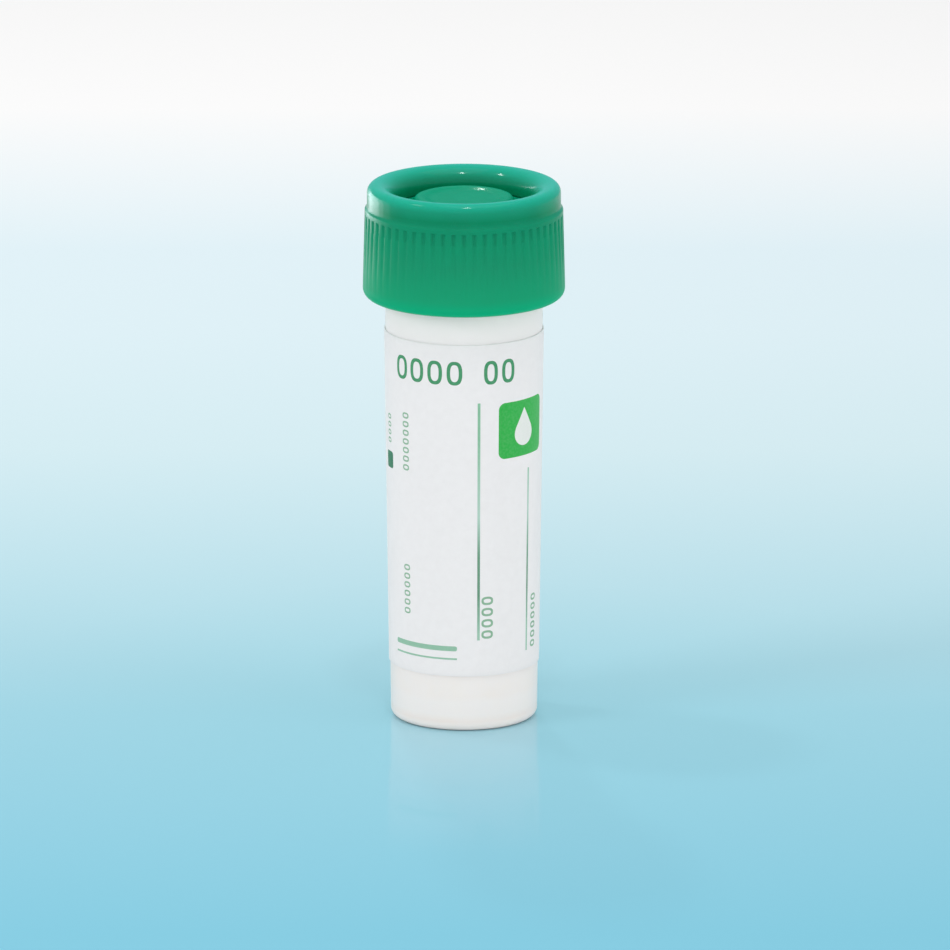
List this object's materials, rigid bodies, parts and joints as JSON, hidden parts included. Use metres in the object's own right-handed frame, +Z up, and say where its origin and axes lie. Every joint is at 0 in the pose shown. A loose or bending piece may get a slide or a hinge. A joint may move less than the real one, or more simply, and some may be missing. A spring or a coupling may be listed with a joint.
{
  "type": "blood collection tube",
  "caption": "Small flat-based blood sample tube with a ribbed green screw cap, pierceable stopper and wrapped white label.",
  "frame": {"origin": "centre of the plane that the foot stands on", "axes": "+Z up the tube's axis towards the cap; the middle of the label faces -Y and its viewing gap faces +Y"},
  "size_m": [0.02, 0.02, 0.054],
  "materials": {
    "tube_plastic": "natural polypropylene, milky and see-through",
    "label_film": "satin white film with green print",
    "dried_additive": "fine dried deposit",
    "stopper_rubber": "smooth moulded elastomer, satin",
    "cap_plastic": "smooth moulded polyethylene"
  },
  "bodies": {
    "tube": {"tube": "tube_plastic", "label": "label_film", "edta_additive": "dried_additive"},
    "stopper": {"stopper": "stopper_rubber"},
    "screw_cap": {"screw_cap": "cap_plastic"}
  },
  "joints": [
    {"name": "cap_lift", "type": "slide", "parent": "tube", "child": "stopper", "axis": [0, 0, 1], "range_m": [0, 0.009]},
    {"name": "cap_turn", "type": "hinge", "parent": "stopper", "child": "screw_cap", "pos_m": [0, 0, 0.0484], "axis": [0, 0, 1], "range_deg": [0, 1080]}
  ],
  "couplings": [
    {"joint": "cap_lift", "follows": "cap_turn", "m_per_rad": 0.00047746}
  ]
}
